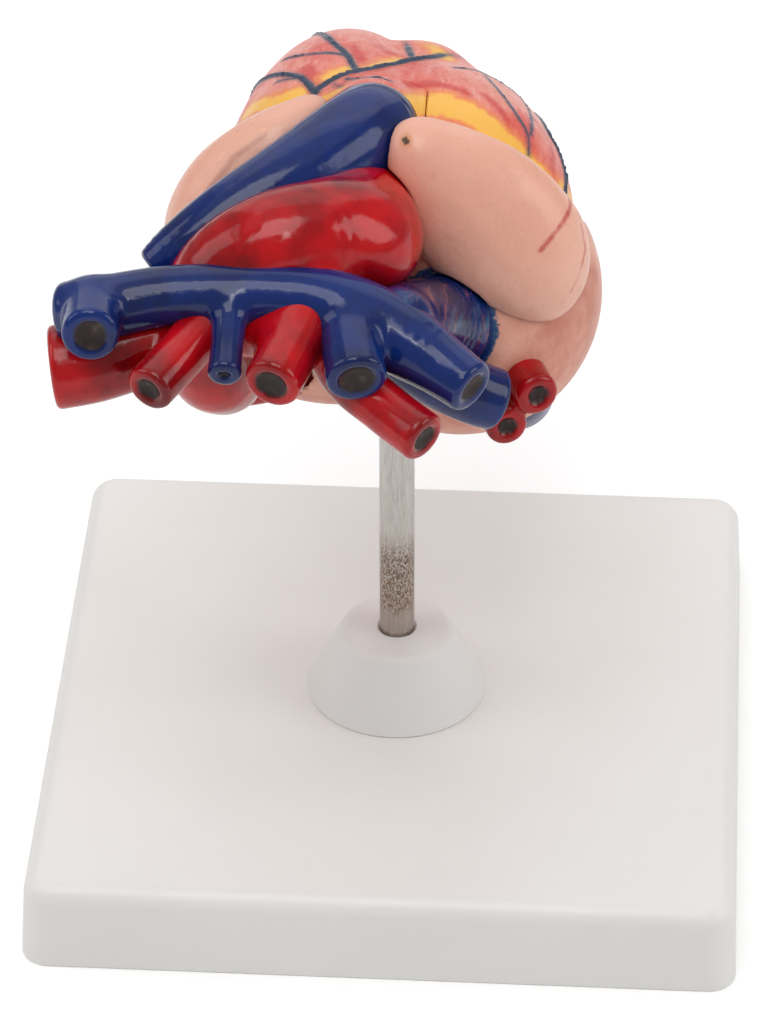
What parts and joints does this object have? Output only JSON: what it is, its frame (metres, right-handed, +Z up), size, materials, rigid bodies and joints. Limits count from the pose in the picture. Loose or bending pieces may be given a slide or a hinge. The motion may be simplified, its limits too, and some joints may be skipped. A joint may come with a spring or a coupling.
{
  "type": "human heart anatomy model",
  "caption": "Painted heart anatomy model with great vessels and a removable front wall, lifted off a steel rod on a square white stand",
  "frame": {"origin": "centre of the base plate's footprint on the surface it stands on", "axes": "+Z up along the rod; +X toward the heart's own right side; +Y from the great vessels toward the apex"},
  "size_m": [0.16, 0.16, 0.1801],
  "materials": {
    "stand_white": "satin moulded plastic",
    "steel": "drawn steel with light wear",
    "sleeve": "turned",
    "flesh": "hand-painted glossy vinyl",
    "muscle_red": "hand-painted glossy vinyl with yellow fat and dark veins",
    "artery_red": "high-gloss red paint",
    "vein_blue": "high-gloss blue paint",
    "valve_ivory": "satin paint",
    "magnet": "nickel plated"
  },
  "bodies": {
    "stand": {"base_plate": "stand_white", "collar": "stand_white", "rod_washer": "steel"},
    "rod_body": {"rod": "steel", "rod_screw": "steel"},
    "heart": {"rear_heart": "flesh", "rod_sleeve": "sleeve", "aorta": "artery_red", "pulmonary_trunk": "vein_blue", "right_pulmonary_artery": "vein_blue", "superior_vena_cava": "vein_blue", "brachiocephalic_veins": "vein_blue", "inferior_vena_cava": "vein_blue", "right_pulmonary_veins": "artery_red", "left_pulmonary_veins": "artery_red", "left_auricle": "flesh", "mitral_valve": "valve_ivory", "tricuspid_valve": "valve_ivory", "aortic_valve": "valve_ivory", "pulmonary_valve": "valve_ivory", "left_papillary_muscles": "muscle_red", "right_papillary_muscles": "muscle_red", "locating_pins": "steel", "rear_magnets": "magnet"},
    "front": {"front_wall": "muscle_red", "right_auricle": "flesh", "front_magnets": "magnet"}
  },
  "joints": [
    {"name": "rod_swivel", "type": "hinge", "parent": "stand", "child": "rod_body", "pos_m": [0, 0, 0.03], "axis": [0, 0, 1], "continuous": true},
    {"name": "heart_lift", "type": "slide", "parent": "rod_body", "child": "heart", "axis": [0, 0, 1], "range_m": [0, 0.04]},
    {"name": "front_lift", "type": "slide", "parent": "heart", "child": "front", "axis": [0, 0.4226, 0.9063], "range_m": [0, 0.06]}
  ]
}
